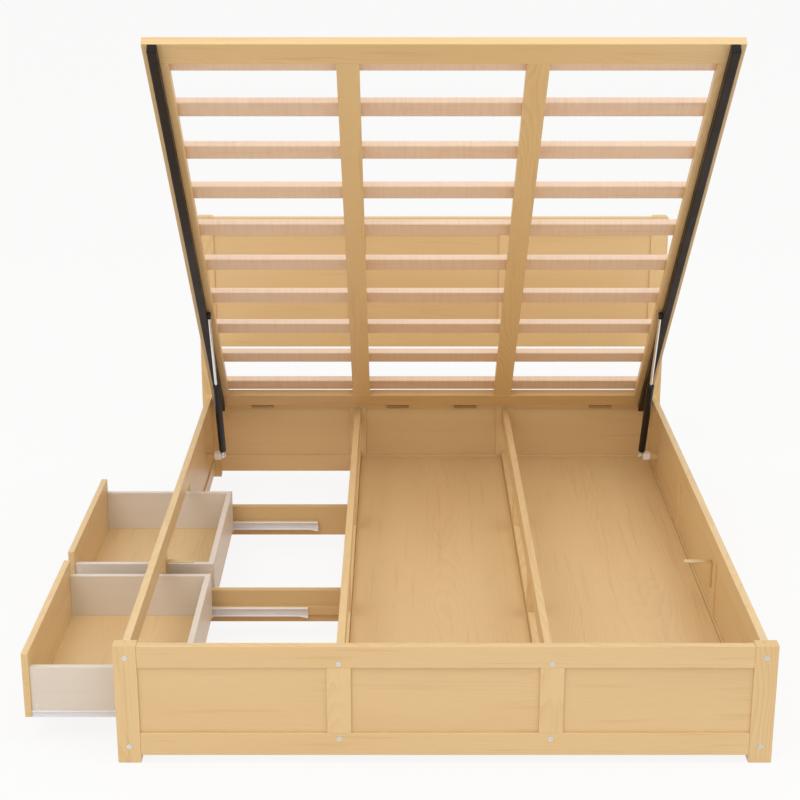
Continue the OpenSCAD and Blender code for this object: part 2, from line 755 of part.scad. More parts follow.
module piston_rod(side) color(silver) strut(side) {
    along(gas_len - piston_in, strut_len, rod_r);
    along(gas_len - piston_in, gas_len - piston_in + piston_len, gas_r - gas_wall - strut_run_gap);
    translate([0, -strut_len, 0]) mirror([side > 0 ? 0 : 1, 0, 0]) {
        rod_along_x(-strut_eye_t / 2, strut_eye_t / 2, strut_pin_r + eye_wall);
        rod_along_x(0, bar_x - strut_x - strut_side_gap, strut_pin_r);
    }
}

// Drawers, numbered from the foot, drawn closed and then pulled out
module pulled() translate([-drawer_travel, 0, 0]) children();

module drawer_front(i) color(pine) pulled() board([-side_out, box_front],
    [opening_ys[i] + drawer_gap, opening_ys[i] + opening_len - drawer_gap],
    [sill_top + drawer_gap, side_top - rail_h - drawer_gap]);

module drawer_sides(i) color(greige) pulled() for (y = [box_ys[i], box_ys[i] + box_w - box_wall])
    board([box_front, box_back], [y, y + box_wall], [box_low, box_low + box_h]);

module drawer_back(i) color(greige) pulled() board([box_back - box_wall, box_back],
    [box_ys[i] + box_wall, box_ys[i] + box_w - box_wall], [box_low, box_low + box_h]);

module drawer_bottom(i) color(pine_dark) pulled() board([box_front, box_back],
    [box_ys[i], box_ys[i] + box_w], [box_low - box_bottom_t, box_low]);

// One runner under the near side of a drawer box, with its roller at the back end
module runner() {
    roller_front = drawer_roller_x - drawer_roller_r;
    board([box_front, box_back], [-slide_t, 0], [box_low - runner_drop, runner_flange_z + slide_t]);
    board([box_front, box_back], [-slide_t, runner_lip],
        [box_low - box_bottom_t - slide_t, box_low - box_bottom_t]);
    board([box_front, roller_front - 2], [-slide_t - runner_flange, 0],
        [runner_flange_z, runner_flange_z + slide_t]);
    translate([drawer_roller_x, 0, drawer_roller_z]) rotate([90, 0, 0])
        roller(slide_t, drawer_roller_w, drawer_roller_r);
}

module drawer_runners(i) color(silver) pulled() {
    translate([0, box_ys[i], 0]) runner();
    translate([0, box_ys[i] + box_w, 0]) mirror([0, 1, 0]) runner();
}

in_place() foot_post(-1);  // foot_post_left
in_place() foot_post(1);  // foot_post_right
in_place() foot_top_rail();
in_place() foot_bottom_rail();
in_place() foot_stiles();
in_place() foot_panels();
in_place() head_post(-1);  // head_post_left
in_place() head_post(1);  // head_post_right
in_place() headboard_top_rail();
in_place() headboard_bottom_rail();
in_place() headboard_stiles();
in_place() headboard_panels();
in_place() head_frame_top_rail();
in_place() head_frame_bottom_rail();
in_place() head_frame_stiles();
in_place() head_frame_panels();
in_place() right_top_rail();
in_place() right_bottom_rail();
in_place() right_stiles();
in_place() right_panels();
in_place() left_top_rail();
in_place() left_sill_rail();
in_place() left_stiles();
in_place() left_filler_panel();
in_place() divider_top_rails();
in_place() divider_bottom_rails();
in_place() divider_stiles();
in_place() floor_panels();
in_place() inner_cleats();
in_place() drawer_cross_boards();
in_place() slide_packers();
in_place() slide_channels();
in_place() support_brackets();
in_place() strut_mount_blocks();
in_place() hinge_fixed_leaves();
in_place() hinge_pins();
in_place() frame_bolts();
in_place() barrel_nuts();
in_place() rail_screws();
in_place() lift_foot_rail();
in_place() lift_head_rail();
in_place() lift_side_rails();
in_place() lift_mid_rails();
in_place() slats();
in_place() steel_bars();
in_place() hinge_moving_leaves();
in_place() gas_cylinder(-1);  // gas_cylinder_left
in_place() gas_cylinder(1);  // gas_cylinder_right
in_place() piston_rod(-1);  // piston_rod_left
in_place() piston_rod(1);  // piston_rod_right
in_place() drawer_front(0);  // front_drawer_front
in_place() drawer_sides(0);  // front_drawer_sides
in_place() drawer_back(0);  // front_drawer_back
in_place() drawer_bottom(0);  // front_drawer_bottom
in_place() drawer_runners(0);  // front_drawer_runners
in_place() drawer_front(1);  // back_drawer_front
in_place() drawer_sides(1);  // back_drawer_sides
in_place() drawer_back(1);  // back_drawer_back
in_place() drawer_bottom(1);  // back_drawer_bottom
in_place() drawer_runners(1);  // back_drawer_runners
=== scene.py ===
import json
import math
import random

import bmesh
import bpy
from mathutils import Matrix, Vector


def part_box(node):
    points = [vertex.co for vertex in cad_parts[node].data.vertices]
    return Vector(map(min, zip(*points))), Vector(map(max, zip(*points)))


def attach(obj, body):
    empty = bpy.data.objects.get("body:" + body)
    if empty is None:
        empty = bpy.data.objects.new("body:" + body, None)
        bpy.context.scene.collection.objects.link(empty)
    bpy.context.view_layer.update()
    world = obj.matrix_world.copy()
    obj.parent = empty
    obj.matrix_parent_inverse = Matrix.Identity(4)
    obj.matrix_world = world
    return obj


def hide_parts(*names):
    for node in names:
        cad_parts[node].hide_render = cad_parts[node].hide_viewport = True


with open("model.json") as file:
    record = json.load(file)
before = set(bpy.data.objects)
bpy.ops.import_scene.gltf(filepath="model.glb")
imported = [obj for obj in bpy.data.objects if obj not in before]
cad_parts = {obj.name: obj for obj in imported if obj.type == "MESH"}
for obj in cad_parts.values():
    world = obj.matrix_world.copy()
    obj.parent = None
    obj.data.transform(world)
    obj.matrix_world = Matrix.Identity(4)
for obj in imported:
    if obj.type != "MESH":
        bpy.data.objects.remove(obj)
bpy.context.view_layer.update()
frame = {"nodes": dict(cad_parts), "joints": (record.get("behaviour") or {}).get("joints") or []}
MM = 0.001

# ---------------------------------------------------------------- camera, floor and light
# The bed stands on a studio floor that is white to the camera and throws back a warm light. The camera
# looks down on it from beyond the footboard, level from side to side, at the distance where both drawers
# and the raised platform fill the frame.
camera_place, camera_tilt, lens_mm = (0.0124, -4.8269, 2.1929), 71.91, 77.42
bpy.ops.object.camera_add(location=camera_place, rotation=(math.radians(camera_tilt), 0, 0))
camera = bpy.context.object
camera.data.sensor_width = 36
camera.data.lens = lens_mm
camera.data.clip_end = 200
bpy.context.scene.camera = camera
bpy.context.scene.view_settings.view_transform = "Standard"


def new_material(name):
    """A material with its node tree and its main shader."""
    material = bpy.data.materials.new(name)
    material.use_nodes = True
    return material, material.node_tree, material.node_tree.nodes["Principled BSDF"]


def seen_share(tree, share):
    """A mask that is share for what the camera sees, straight or in a reflection, and 0 for the light."""
    path = tree.nodes.new("ShaderNodeLightPath")
    value = path.outputs["Is Camera Ray"]
    for ray in ("Is Glossy Ray", "Is Transmission Ray"):
        either = tree.nodes.new("ShaderNodeMath")
        either.operation = "MAXIMUM"
        tree.links.new(value, either.inputs[0])
        tree.links.new(path.outputs[ray], either.inputs[1])
        value = either.outputs[0]
    part = tree.nodes.new("ShaderNodeMath")
    part.operation = "MULTIPLY"
    part.inputs[1].default_value = share
    tree.links.new(value, part.inputs[0])
    return part.outputs[0]


# The origin is halfway across the bed with its drawers out, so the box alone has its middle beside it.
bed_middle = 0.124
floor_glow = 0.9
seen_grey, unseen_grey, under_bed_tan = (0.9, 0.9, 0.9, 1), (0.87, 0.835, 0.79, 1), (0.9, 0.66, 0.44, 1)
studio_white = (0.98, 0.98, 0.98, 1)
daylight, day_colour = 0.77, (1.03, 0.965, 0.92, 1)
floor_z, studio_size = -0.001, (60, 60, 1)
bed_floor_z, bed_size = -0.0005, (1.6, 2.04, 1)
lamp_size, lamp_aim = 4.0, Vector((0, 0.2, 0.4))
left_lamp, left_power = (-2.5, -3.8, 6.0), 136
right_lamp, right_power = (3.0, -2.0, 6.3), 92


def floor_sheet(name, height, stretch, bounced):
    """A stretch of the floor, white to the camera, that throws the light back in a colour of its own."""
    bpy.ops.object.select_all(action="DESELECT")
    bpy.ops.mesh.primitive_plane_add(size=1, location=(bed_middle, 0, height))
    sheet_of_floor = bpy.context.object
    sheet_of_floor.scale = stretch
    bpy.ops.object.transform_apply(location=True, rotation=True, scale=True)
    sheet_of_floor.name = name
    floor_material, tree, shader = new_material(name)
    grey = tree.nodes.new("ShaderNodeMix")
    grey.data_type = "RGBA"
    grey.inputs["A"].default_value = bounced
    grey.inputs["B"].default_value = seen_grey
    tree.links.new(seen_share(tree, 1.0), grey.inputs["Factor"])
    tree.links.new(grey.outputs["Result"], shader.inputs["Base Color"])
    shader.inputs["Roughness"].default_value = 0.9
    shader.inputs["Specular IOR Level"].default_value = 0.1
    glow = tree.nodes.new("ShaderNodeEmission")
    glow.inputs["Color"].default_value = studio_white
    mixed = tree.nodes.new("ShaderNodeMixShader")
    tree.links.new(seen_share(tree, floor_glow), mixed.inputs["Fac"])
    tree.links.new(shader.outputs[0], mixed.inputs[1])
    tree.links.new(glow.outputs[0], mixed.inputs[2])
    tree.links.new(mixed.outputs[0], tree.nodes["Material Output"].inputs["Surface"])
    sheet_of_floor.data.materials.append(floor_material)


floor_sheet("studio_floor", floor_z, studio_size, unseen_grey)
floor_sheet("floor_under_bed", bed_floor_z, bed_size, under_bed_tan)

world = bpy.context.scene.world or bpy.data.worlds.new("studio")
bpy.context.scene.world = world
world.use_nodes = True
tree = world.node_tree
sky = tree.nodes["Background"]
sky.inputs["Color"].default_value = day_colour
sky.inputs["Strength"].default_value = daylight
backdrop = tree.nodes.new("ShaderNodeBackground")
backdrop.inputs["Color"].default_value = studio_white
mixed = tree.nodes.new("ShaderNodeMixShader")
tree.links.new(seen_share(tree, 1.0), mixed.inputs["Fac"])
tree.links.new(sky.outputs[0], mixed.inputs[1])
tree.links.new(backdrop.outputs[0], mixed.inputs[2])
tree.links.new(mixed.outputs[0], tree.nodes["World Output"].inputs["Surface"])

for place, power in ((left_lamp, left_power), (right_lamp, right_power)):
    bpy.ops.object.light_add(type="AREA", location=place)
    lamp = bpy.context.object
    lamp.data.size = lamp_size
    lamp.data.energy = power
    lamp.rotation_euler = (lamp_aim - Vector(place)).to_track_quat("-Z", "Y").to_euler()

# ---------------------------------------------------------------- corner posts
# Two short foot posts and two tall head posts of planed pine under a clear satin lacquer, their edges
# eased with a router. The head posts have rounded top corners.


def value_node(group, operation, a, b=0.0):
    """One step of arithmetic in a node group, on sockets or plain numbers."""
    node = group.nodes.new("ShaderNodeMath")
    node.operation = operation
    for socket, value in zip(node.inputs, (a, b)):
        if isinstance(value, bpy.types.NodeSocket):
            group.links.new(value, socket)
        else:
            socket.default_value = value
    return node.outputs[0]


def sum_node(group, total, *others):
    """The sum of several values."""
    for other in others:
        total = value_node(group, "ADD", total, other)
    return total


def swing_node(group, value, middle, reach):
    """A value taken from its middle and scaled, so that it goes both ways from 0."""
    return value_node(group, "MULTIPLY", value_node(group, "SUBTRACT", value, middle), reach)


def noise_node(group, vector, stretch, detail):
    """Noise with that many waves to the metre along each axis."""
    mapping = group.nodes.new("ShaderNodeMapping")
    mapping.inputs["Scale"].default_value = stretch
    group.links.new(vector, mapping.inputs["Vector"])
    texture = group.nodes.new("ShaderNodeTexNoise")
    texture.inputs["Scale"].default_value = 1.0
    texture.inputs["Detail"].default_value = detail
    group.links.new(mapping.outputs[0], texture.inputs["Vector"])
    return texture.outputs["Fac"]


def ramp_node(group, value, low, high):
    """A smooth rise from 0 to 1 between two values."""
    node = group.nodes.new("ShaderNodeMapRange")
    node.interpolation_type = "SMOOTHSTEP"
    group.links.new(value, node.inputs["Value"])
    node.inputs["From Min"].default_value = low
    node.inputs["From Max"].default_value = high
    return node.outputs[0]


def blend_node(group, factor, a, b):
    """A colour between two others."""
    mix = group.nodes.new("ShaderNodeMix")
    mix.data_type = "RGBA"
    mix.clamp_factor = True
    group.links.new(factor, mix.inputs["Factor"])
    group.links.new(a, mix.inputs["A"])
    group.links.new(b, mix.inputs["B"])
    return mix.outputs["Result"]


def new_group(name, numbers, colours):
    """An empty node group with its inputs and a colour, a roughness and a height as outputs."""
    group = bpy.data.node_groups.new(name, "ShaderNodeTree")
    face = group.interface
    face.new_socket("Vector", in_out="INPUT", socket_type="NodeSocketVector")
    for socket in numbers:
        face.new_socket(socket, in_out="INPUT", socket_type="NodeSocketFloat")
    for socket in colours:
        face.new_socket(socket, in_out="INPUT", socket_type="NodeSocketColor")
    face.new_socket("Color", in_out="OUTPUT", socket_type="NodeSocketColor")
    face.new_socket("Roughness", in_out="OUTPUT", socket_type="NodeSocketFloat")
    face.new_socket("Height", in_out="OUTPUT", socket_type="NodeSocketFloat")
    return group, group.nodes.new("NodeGroupInput"), group.nodes.new("NodeGroupOutput")


def grain_group():
    """The figure of sawn timber. Its vector runs along the board on X, with the heart off to one side."""
    squash, sway_reach, ripple_reach = 1.35, 0.13, 0.012
    late_curve, late_end, faintest_ring = 2.2, 0.84, 0.15
    broad_middle, broad_depth, end_depth = 0.42, 0.4, 0.06
    roughness, fibre_roughness, end_roughness, ring_height = 0.34, 0.16, 0.2, 0.5
    group, start, end = new_group("timber_figure", ("Ring Gap", "Ring Depth", "Streaks", "Fibres", "Flecks",
                                                    "End Grain"), ("Pale", "Deep"))
    vector, end_grain = start.outputs["Vector"], start.outputs["End Grain"]
    parts = group.nodes.new("ShaderNodeSeparateXYZ")
    group.links.new(vector, parts.inputs[0])
    sway = noise_node(group, vector, (1.1, 3.2, 3.2), 2.0)
    ripple = noise_node(group, vector, (3.5, 26.0, 26.0), 2.0)
    squashed = value_node(group, "MULTIPLY", parts.outputs["Z"], squash)
    across_squared = value_node(group, "POWER", parts.outputs["Y"], 2.0)
    through_squared = value_node(group, "POWER", squashed, 2.0)
    from_heart = value_node(group, "SQRT", sum_node(group, across_squared, through_squared))
    wander = sum_node(group, swing_node(group, sway, 0.5, sway_reach),
                      swing_node(group, ripple, 0.5, ripple_reach))
    turns = value_node(group, "DIVIDE", sum_node(group, from_heart, wander), start.outputs["Ring Gap"])
    saw = value_node(group, "FRACT", turns)
    late = value_node(group, "MULTIPLY", value_node(group, "POWER", saw, late_curve),
                      value_node(group, "SUBTRACT", 1.0, ramp_node(group, saw, late_end, 1.0)))
    patchy = ramp_node(group, noise_node(group, vector, (0.8, 9.0, 9.0), 1.0), 0.35, 0.68)
    shown = sum_node(group, value_node(group, "MULTIPLY", patchy, 1 - faintest_ring), faintest_ring)
    rings = value_node(group, "MULTIPLY", late, shown)
    streak = ramp_node(group, noise_node(group, vector, (2.6, 58.0, 58.0), 3.0), 0.56, 0.74)
    fibre = noise_node(group, vector, (14.0, 620.0, 620.0), 2.0)
    broad = noise_node(group, vector, (0.9, 5.0, 5.0), 2.0)
    fleck = noise_node(group, vector, (130.0, 9.0, 9.0), 3.0)
    depth = sum_node(group, value_node(group, "MULTIPLY", rings, start.outputs["Ring Depth"]),
                     value_node(group, "MULTIPLY", streak, start.outputs["Streaks"]),
                     swing_node(group, fibre, 0.5, start.outputs["Fibres"]),
                     swing_node(group, fleck, 0.5, start.outputs["Flecks"]),
                     swing_node(group, broad, broad_middle, broad_depth),
                     value_node(group, "MULTIPLY", end_grain, end_depth))
    colour = blend_node(group, depth, start.outputs["Pale"], start.outputs["Deep"])
    rough = sum_node(group, value_node(group, "MULTIPLY", fibre, fibre_roughness), roughness,
                     value_node(group, "MULTIPLY", end_grain, end_roughness))
    height = sum_node(group, value_node(group, "MULTIPLY", rings, ring_height), fibre)
    for socket, value in (("Color", colour), ("Roughness", rough), ("Height", height)):
        group.links.new(value, end.inputs[socket])
    return group


def srgb(red, green, blue):
    """A colour written as it shows on a screen, 0 to 255, as the shader's linear values."""
    def linear(value):
        value /= 255
        return value / 12.92 if value <= 0.04045 else ((value + 0.055) / 1.055) ** 2.4
    return (linear(red), linear(green), linear(blue), 1)


def finish_from(tree, shader, figure, bump, relief):
    """Links a pattern group's outputs to the shader, with its height as a bump some mm high."""
    bumps = tree.nodes.new("ShaderNodeBump")
    bumps.inputs["Strength"].default_value = bump
    bumps.inputs["Distance"].default_value = relief * MM
    tree.links.new(figure.outputs["Color"], shader.inputs["Base Color"])
    tree.links.new(figure.outputs["Roughness"], shader.inputs["Roughness"])
    tree.links.new(figure.outputs["Height"], bumps.inputs["Height"])
    tree.links.new(bumps.outputs["Normal"], shader.inputs["Normal"])


timber_figure = grain_group()


def timber(name, pale, deep, gap=6, rings=0.3, streaks=0.22, fibres=0.2, flecks=0.0, coat=0.12):
    """Sawn timber, whose figure follows each board's own length, with a gap in mm between its rings."""
    material, tree, shader = new_material(name)
    along = tree.nodes.new("ShaderNodeAttribute")
    along.attribute_name = "along_board"
    ends = tree.nodes.new("ShaderNodeAttribute")
    ends.attribute_name = "board_end"
    figure = tree.nodes.new("ShaderNodeGroup")
    figure.node_tree = timber_figure
    for socket, value in (("Ring Gap", gap * MM), ("Ring Depth", rings), ("Streaks", streaks),
                          ("Fibres", fibres), ("Flecks", flecks), ("Pale", pale), ("Deep", deep)):
        figure.inputs[socket].default_value = value
    tree.links.new(along.outputs["Vector"], figure.inputs["Vector"])
    tree.links.new(ends.outputs["Fac"], figure.inputs["End Grain"])
    finish_from(tree, shader, figure, bump=0.12, relief=0.3)
    shader.inputs["Coat Weight"].default_value = coat
    shader.inputs["Coat Roughness"].default_value = 0.3
    return material


weld, flat_angle, sharp_angle, smooth_angle = 1e-5, math.radians(0.5), math.radians(30), math.radians(40)


def only(*chosen):
    """Selects these objects alone, the first of them active."""
    bpy.ops.object.select_all(action="DESELECT")
    for piece in chosen:
        piece.select_set(True)
    bpy.context.view_layer.objects.active = chosen[0]


def copy_of(node, name):
    """A copy of a CAD node's mesh, its loose triangles joined up and its flat faces made whole."""
    piece = bpy.data.objects.new(name, frame["nodes"][node].data.copy())
    bpy.context.scene.collection.objects.link(piece)
    piece.data.materials.clear()
    only(piece)
    bpy.ops.mesh.customdata_custom_splitnormals_clear()
    bpy.ops.object.mode_set(mode="EDIT")
    bpy.ops.mesh.select_all(action="SELECT")
    bpy.ops.mesh.remove_doubles(threshold=weld)
    bpy.ops.mesh.dissolve_limited(angle_limit=flat_angle)
    bpy.ops.mesh.mark_sharp(clear=True)
    bpy.ops.object.mode_set(mode="OBJECT")
    return piece


def round_edges(piece, ease, shortest=6.0, steps=3, chosen=None):
    """Rounds a piece's sharp edges that are long enough and chosen, to a radius in mm."""
    only(piece)
    bpy.ops.object.mode_set(mode="EDIT")
    bpy.ops.mesh.select_mode(type="EDGE")
    bpy.ops.mesh.select_all(action="DESELECT")
    mesh = bmesh.from_edit_mesh(piece.data)
    for edge in mesh.edges:
        sharp = edge.is_manifold and edge.calc_face_angle() > sharp_angle
        long = edge.calc_length() > shortest * MM
        edge.select_set(sharp and long and (chosen is None or chosen(edge)))
    bmesh.update_edit_mesh(piece.data)
    bpy.ops.mesh.bevel(offset=ease * MM, segments=steps, affect="EDGES", clamp_overlap=True)
    bpy.ops.mesh.select_mode(type="VERT")
    bpy.ops.object.mode_set(mode="OBJECT")
    return smooth(piece)


def smooth(piece):
    """Smooth shading on curves, with the flat faces kept flat."""
    only(piece)
    bpy.ops.object.shade_smooth_by_angle(angle=smooth_angle)
    piece.modifiers.new("flat_faces", "WEIGHTED_NORMAL").keep_sharp = True
    bpy.ops.object.modifier_apply(modifier="flat_faces")
    return piece


def solids_in(mesh):
    """The separate solids of a mesh, each a list of the numbers of its points."""
    linked = [[] for _ in mesh.vertices]
    for edge in mesh.edges:
        a, b = edge.vertices
        linked[a].append(b)
        linked[b].append(a)
    met = [False] * len(linked)
    solids = []
    for first in range(len(linked)):
        if not met[first]:
            met[first] = True
            solid = [first]
            for index in solid:
                for other in linked[index]:
                    if not met[other]:
                        met[other] = True
                        solid.append(other)
            solids.append(solid)
    return solids


def corners_of(points):
    """The lowest and highest corner of some points."""
    return Vector(map(min, *points)), Vector(map(max, *points))


grain_reach, heart_across, heart_through, tip = 9, (0.0, 0.09), (0.03, 0.12), 0.1 * MM


def lay_grain(piece, along, seed):
    """Writes each board's own length, width and depth at its points, so no two boards match."""
    lengthwise = Vector(along).normalized()
    across = Vector((0, 1, 0)) if abs(lengthwise.x) > 0.9 else Vector((1, 0, 0))
    through = lengthwise.cross(across)
    draw = random.Random(seed)
    mesh = piece.data
    places = [0.0] * (3 * len(mesh.vertices))
    ends = [0.0] * len(mesh.vertices)
    for solid in solids_in(mesh):
        measured = [Vector((point.dot(lengthwise), point.dot(across), point.dot(through)))
                   for point in (mesh.vertices[index].co for index in solid)]
        low, high = corners_of([local[:] for local in measured])
        offset = Vector((draw.uniform(-grain_reach, grain_reach),
                         draw.choice((-1, 1)) * draw.uniform(*heart_across),
                         draw.choice((-1, 1)) * draw.uniform(*heart_through))) - (low + high) / 2
        for index, local in zip(solid, measured):
            places[3 * index:3 * index + 3] = local + offset
            ends[index] = float(min(local.x - low.x, high.x - local.x) < tip)
    mesh.attributes.new("along_board", "FLOAT_VECTOR", "POINT").data.foreach_set("vector", places)
    mesh.attributes.new("board_end", "FLOAT", "POINT").data.foreach_set("value", ends)


def put_on(piece, material, body, slot, *nodes):
    """Gives a finished piece its material and its body, and hides the nodes it stands for. Its slot is not
    used.
    """
    piece.data.materials.clear()
    piece.data.materials.append(material)
    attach(piece, body)
    if nodes:
        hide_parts(*nodes)
    return piece


def board(node, name, material, body, slot, along, ease=2.0, seed=1):
    """A CAD node's boards with rounded edges and grain along them, standing for that node."""
    piece = round_edges(copy_of(node, name), ease)
    lay_grain(piece, along, seed)
    return put_on(piece, material, body, slot, node)


ACROSS = (1, 0, 0)
LENGTHWAYS = (0, 1, 0)
UPRIGHT = (0, 0, 1)
pine = timber("pine", srgb(226, 198, 146), srgb(185, 134, 74), rings=0.26, streaks=0.2)
pine_panel = timber("pine_panel", srgb(223, 194, 143), srgb(183, 133, 77), gap=8, rings=0.15, streaks=0.16)
for seed, node in enumerate(("foot_post_left", "foot_post_right", "head_post_left", "head_post_right")):
    board(node, node + "_timber", pine, "bed_box", "pine", UPRIGHT, ease=2.2, seed=10 + seed)

# ---------------------------------------------------------------- footboard, head frame and headboard
# Three frames of the same make: pine rails and stiles, grooved for thin pine panels that are set back
# from both faces. Stub tenons on the stiles go into the rails' grooves.
for seed, frame_name in enumerate(("foot", "head_frame", "headboard")):
    for part, along in (("top_rail", ACROSS), ("bottom_rail", ACROSS), ("stiles", UPRIGHT)):
        node = frame_name + "_" + part
        board(node, node + "_timber", pine, "bed_box", "pine", along, ease=1.3, seed=20 + seed)
    node = frame_name + "_panels"
    board(node, node + "_timber", pine_panel, "bed_box", "pine_panel", ACROSS, ease=0.5, seed=30 + seed)

# ---------------------------------------------------------------- side walls
# The right-hand wall is a panelled frame. The left-hand wall has only its top rail, a sill, the posts
# of the two drawer openings, and a fixed panel behind the drawers.
for node, along in (("right_top_rail", LENGTHWAYS), ("right_bottom_rail", LENGTHWAYS),
                    ("right_stiles", UPRIGHT), ("left_top_rail", LENGTHWAYS),
                    ("left_sill_rail", LENGTHWAYS), ("left_stiles", UPRIGHT)):
    board(node, node + "_timber", pine, "bed_box", "pine", along, ease=1.5, seed=40)
for node in ("right_panels", "left_filler_panel"):
    board(node, node + "_timber", pine_panel, "bed_box", "pine_panel", LENGTHWAYS, ease=0.5, seed=41)

# ---------------------------------------------------------------- dividers
# Two open frames that run from the footboard to the head, with stiles between two long rails. They
# part the storage into three long compartments.
for node, along in (("divider_top_rails", LENGTHWAYS), ("divider_bottom_rails", LENGTHWAYS),
                    ("divider_stiles", UPRIGHT)):
    board(node, node + "_timber", pine, "bed_box", "pine", along, ease=1.5, seed=50)

# ---------------------------------------------------------------- storage floor
# Pine-faced panels on square cleats, in the middle and right-hand compartments. The same stock makes
# the uprights behind the foot stiles and the pads behind the strut blocks.
board("floor_panels", "floor_panels_timber", pine_panel, "bed_box", "pine_panel", LENGTHWAYS, ease=0.25,
      seed=60)
board("inner_cleats", "inner_cleats_timber", pine, "bed_box", "pine", LENGTHWAYS, ease=1.0, seed=61)

# ---------------------------------------------------------------- frame bolts
# Zinc-plated connector bolts through the posts and the end frames. Each has a low round head with a
# turned rim and a hexagon socket, and stands a hair proud of the wood.


def metal_group():
    """The surface of worked metal or moulded plastic: a faint mottle, fine grit and drawn scratches."""
    wear_roughness = 0.3
    group, start, end = new_group("worked_surface", ("Mottle", "Grit", "Scratches", "Gloss"),
                                  ("Light", "Dark"))
    vector, mottle, scratches = (start.outputs[socket] for socket in ("Vector", "Mottle", "Scratches"))
    cloud = ramp_node(group, noise_node(group, vector, (9.0, 9.0, 9.0), 3.0), 0.3, 0.7)
    speck = noise_node(group, vector, (900.0, 900.0, 900.0), 2.0)
    drawn = noise_node(group, vector, (30.0, 1400.0, 1400.0), 2.0)
    scratched = swing_node(group, drawn, 0.5, scratches)
    shade = sum_node(group, value_node(group, "MULTIPLY", cloud, mottle), scratched)
    colour = blend_node(group, shade, start.outputs["Light"], start.outputs["Dark"])
    wear = sum_node(group, scratched, swing_node(group, cloud, 0.5, mottle))
    rough = sum_node(group, value_node(group, "MULTIPLY", wear, wear_roughness),
                     value_node(group, "SUBTRACT", 1.0, start.outputs["Gloss"]))
    height = sum_node(group, value_node(group, "MULTIPLY", speck, start.outputs["Grit"]),
                      value_node(group, "MULTIPLY", drawn, scratches))
    for socket, value in (("Color", colour), ("Roughness", rough), ("Height", height)):
        group.links.new(value, end.inputs[socket])
    return group


worked_surface = metal_group()


def worked(name, light, dark, gloss, metallic=1.0, mottle=0.5, grit=0.2, scratches=0.2, turn=(0, 0, 0),
           bump=0.1, specular=0.5):
    """Metal or plastic, with its drawn scratches along X, or turned from it by degrees about each axis."""
    material, tree, shader = new_material(name)
    place = tree.nodes.new("ShaderNodeTexCoord")
    mapping = tree.nodes.new("ShaderNodeMapping")
    mapping.inputs["Rotation"].default_value = [math.radians(angle) for angle in turn]
    figure = tree.nodes.new("ShaderNodeGroup")
    figure.node_tree = worked_surface
    for socket, value in (("Mottle", mottle), ("Grit", grit), ("Scratches", scratches), ("Gloss", gloss),
                          ("Light", light), ("Dark", dark)):
        figure.inputs[socket].default_value = value
    tree.links.new(place.outputs["Object"], mapping.inputs["Vector"])
    tree.links.new(mapping.outputs[0], figure.inputs["Vector"])
    finish_from(tree, shader, figure, bump, relief=0.1)
    shader.inputs["Metallic"].default_value = metallic
    shader.inputs["Specular IOR Level"].default_value = specular
    return material


def solid_boxes(node, moved=Matrix()):
    """The lowest and highest corner of each separate solid of a CAD node, in order along X, Y and Z."""
    measured = copy_of(node, "measured")
    measured.data.transform(moved)
    points = [vertex.co[:] for vertex in measured.data.vertices]
    boxes = [corners_of([points[index] for index in solid]) for solid in solids_in(measured.data)]
    bpy.data.objects.remove(measured)
    return sorted(boxes, key=lambda box: [round(value, 4) for value in (*box[0], *box[1])])


def prism(sides, radius, depth, place, way):
    """A prism centred on a place, with its axis along way and its radius and depth in mm."""
    turn = Vector((0, 0, 1)).rotation_difference(Vector(way)).to_euler()
    bpy.ops.mesh.primitive_cylinder_add(vertices=sides, radius=radius * MM, depth=depth * MM, location=place,
                                        rotation=turn)
    bpy.ops.object.transform_apply(location=True, rotation=True, scale=True)
    return bpy.context.object


def combine(piece, others, operation="DIFFERENCE"):
    """Cuts other shapes out of a piece, or welds them to it, and uses them up."""
    only(*others)
    if len(others) > 1:
        bpy.ops.object.join()
    other = bpy.context.view_layer.objects.active
    step = piece.modifiers.new("combine", "BOOLEAN")
    step.operation = operation
    step.solver = "EXACT"
    step.use_self = True
    step.object = other
    only(piece)
    bpy.ops.object.modifier_apply(modifier="combine")
    bpy.data.objects.remove(other)
    return piece


zinc = worked("zinc_plate", srgb(224, 226, 228), srgb(196, 198, 200), gloss=0.66, metallic=0.55, grit=0.3,
              scratches=0.25)
socket_r, socket_l = 2.9, 4.0
sockets = []
for low, high in solid_boxes("frame_bolts"):
    face = ((low.x + high.x) / 2, low.y if low.y + high.y < 0 else high.y, (low.z + high.z) / 2)
    sockets.append(prism(6, socket_r, socket_l, face, LENGTHWAYS))
bolts = combine(copy_of("frame_bolts", "frame_bolts_plated"), sockets)
round_edges(bolts, 0.35, shortest=0.2, steps=2)
put_on(bolts, zinc, "bed_box", "zinc_steel", "frame_bolts")

# ---------------------------------------------------------------- barrel nuts
# Cross dowels for the bolts: upright ones let into the tops of the rails, and lying ones let into
# their inner faces. The end that shows has a slot, to turn its thread to the bolt.


def block(low, high):
    """A box from corner to corner."""
    low, high = Vector(low), Vector(high)
    bpy.ops.mesh.primitive_cube_add(size=1, location=(low + high) / 2, scale=high - low)
    bpy.ops.object.transform_apply(location=True, rotation=True, scale=True)
    return bpy.context.object


slot_w, slot_deep = 1.4, 1.2
slots = []
for low, high in solid_boxes("barrel_nuts"):
    middle = (low + high) / 2
    upright = high.z - low.z > high.x - low.x
    half = Vector((slot_w / 2 * MM, (high.y - low.y) / 2 + MM, slot_deep * MM))
    if upright:
        end = Vector((middle.x, middle.y, high.z))
    else:
        end = Vector((low.x if middle.x > bed_middle else high.x, middle.y, middle.z))
        half = Vector((half.z, half.y, half.x))
    slots.append(block(end - half, end + half))
nuts = combine(copy_of("barrel_nuts", "barrel_nuts_plated"), slots)
round_edges(nuts, 0.25, shortest=0.2, steps=2)
put_on(nuts, zinc, "bed_box", "zinc_steel", "barrel_nuts")

